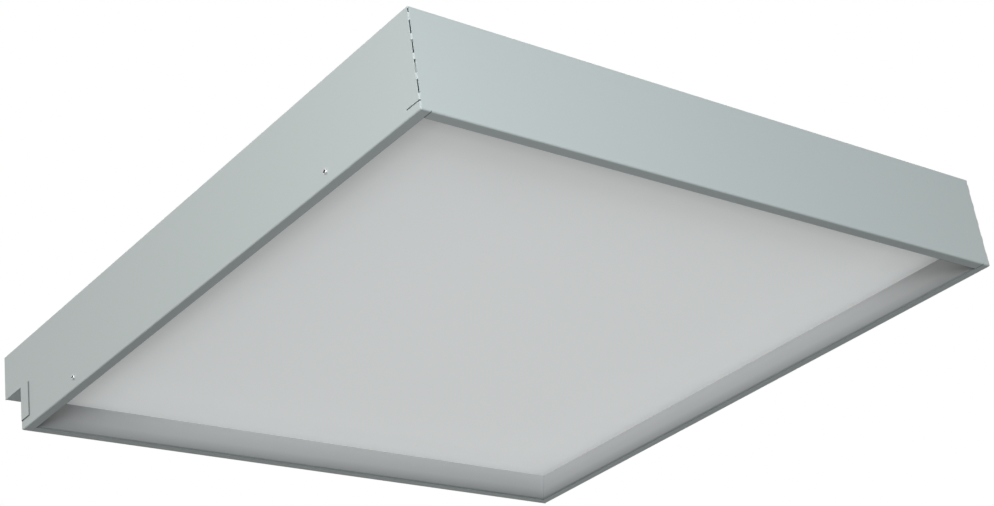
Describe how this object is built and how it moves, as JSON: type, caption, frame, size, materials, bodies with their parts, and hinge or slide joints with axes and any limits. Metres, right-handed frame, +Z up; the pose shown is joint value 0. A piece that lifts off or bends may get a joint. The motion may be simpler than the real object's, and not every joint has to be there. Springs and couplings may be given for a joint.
{
  "type": "recessed troffer light",
  "caption": "Square recessed ceiling troffer: folded steel body with an opal diffuser set up inside its lip, LED boards on a white tray and the gear in a ledge at the rear.",
  "frame": {"origin": "middle of the plan outline, on the underside of the lip that rests on the ceiling grid", "axes": "+Z up into the ceiling, +Y from the front wall towards the rear wall and its gear ledge, +X to the right seen from the front"},
  "size_m": [0.5974, 0.626, 0.0848],
  "materials": {
    "body_paint": "pale grey-green powder paint, satin",
    "rail_paint": "white powder paint, satin",
    "opal": "opal acrylic, fine matt",
    "reflector_paint": "high-reflectance white paint, matt",
    "rivet_metal": "bare aluminium",
    "bright_zinc": "bright zinc plate",
    "tinned_metal": "tinned",
    "earth_brass": "plain",
    "block_plastic": "moulded polyamide",
    "button_plastic": "moulded polyamide",
    "driver_metal": "satin",
    "circuit_board": "solder mask",
    "terminal_plastic": "moulded",
    "ferrite": "sintered ferrite",
    "winding_tape": "polyester tape",
    "capacitor_sleeve": "shrink sleeve",
    "led_board": "white solder mask",
    "led_phosphor": "silicone over phosphor",
    "grommet_rubber": "matt",
    "wire_brown": "insulation",
    "wire_blue": "insulation",
    "wire_green": "insulation",
    "wire_red": "insulation",
    "wire_black": "insulation",
    "wire_white": "insulation"
  },
  "bodies": {
    "housing": {"board_screws": "bright_zinc", "cable_grommet": "grommet_rubber", "driver_base": "driver_metal", "driver_board": "circuit_board", "driver_capacitors": "capacitor_sleeve", "driver_choke": "ferrite", "driver_core": "ferrite", "driver_input": "terminal_plastic", "driver_lid": "driver_metal", "driver_output": "terminal_plastic", "driver_screws": "bright_zinc", "driver_winding": "winding_tape", "earth_lug": "tinned_metal", "earth_screw": "earth_brass", "earth_washer": "bright_zinc", "gear_channel": "body_paint", "lead_bushing": "grommet_rubber", "lead_negative": "wire_black", "lead_positive": "wire_red", "led_board_1": "led_board", "led_board_2": "led_board", "led_board_3": "led_board", "led_board_4": "led_board", "led_board_5": "led_board", "led_connector_1": "terminal_plastic", "led_connector_2": "terminal_plastic", "led_connector_3": "terminal_plastic", "led_connector_4": "terminal_plastic", "led_connector_5": "terminal_plastic", "led_row_1": "led_phosphor", "led_row_2": "led_phosphor", "led_row_3": "led_phosphor", "led_row_4": "led_phosphor", "led_row_5": "led_phosphor", "link_wires": "wire_white", "panel_rivets": "rivet_metal", "rail_front": "rail_paint", "rail_left": "rail_paint", "rail_rear": "rail_paint", "rail_right": "rail_paint", "rail_screws": "bright_zinc", "rear_plate": "body_paint", "reflector_tray": "reflector_paint", "terminal_block": "block_plastic", "terminal_screw": "bright_zinc", "top_panel": "body_paint", "tray_rivets": "rivet_metal", "wall_wrap": "body_paint", "wire_earth": "wire_green", "wire_live": "wire_brown", "wire_neutral": "wire_blue"},
    "diffuser": {"diffuser": "opal"},
    "gear_cover": {"gear_cover": "body_paint", "cover_screws": "bright_zinc"},
    "button_live": {"button_live": "button_plastic"},
    "button_neutral": {"button_neutral": "button_plastic"},
    "button_earth": {"button_earth": "button_plastic"}
  },
  "joints": [
    {"name": "diffuser_lift", "type": "slide", "parent": "housing", "child": "diffuser", "axis": [0, 0, 1], "range_m": [0, 0.012]},
    {"name": "gear_cover_hinge", "type": "hinge", "parent": "housing", "child": "gear_cover", "pos_m": [0, 0.252, 0.0822], "axis": [1, 0, 0], "range_deg": [0, 100]},
    {"name": "button_live_press", "type": "slide", "parent": "housing", "child": "button_live", "axis": [0, 0, -1], "range_m": [0, 0.0015], "stiffness_N_per_m": 400},
    {"name": "button_neutral_press", "type": "slide", "parent": "housing", "child": "button_neutral", "axis": [0, 0, -1], "range_m": [0, 0.0015], "stiffness_N_per_m": 400},
    {"name": "button_earth_press", "type": "slide", "parent": "housing", "child": "button_earth", "axis": [0, 0, -1], "range_m": [0, 0.0015], "stiffness_N_per_m": 400}
  ]
}
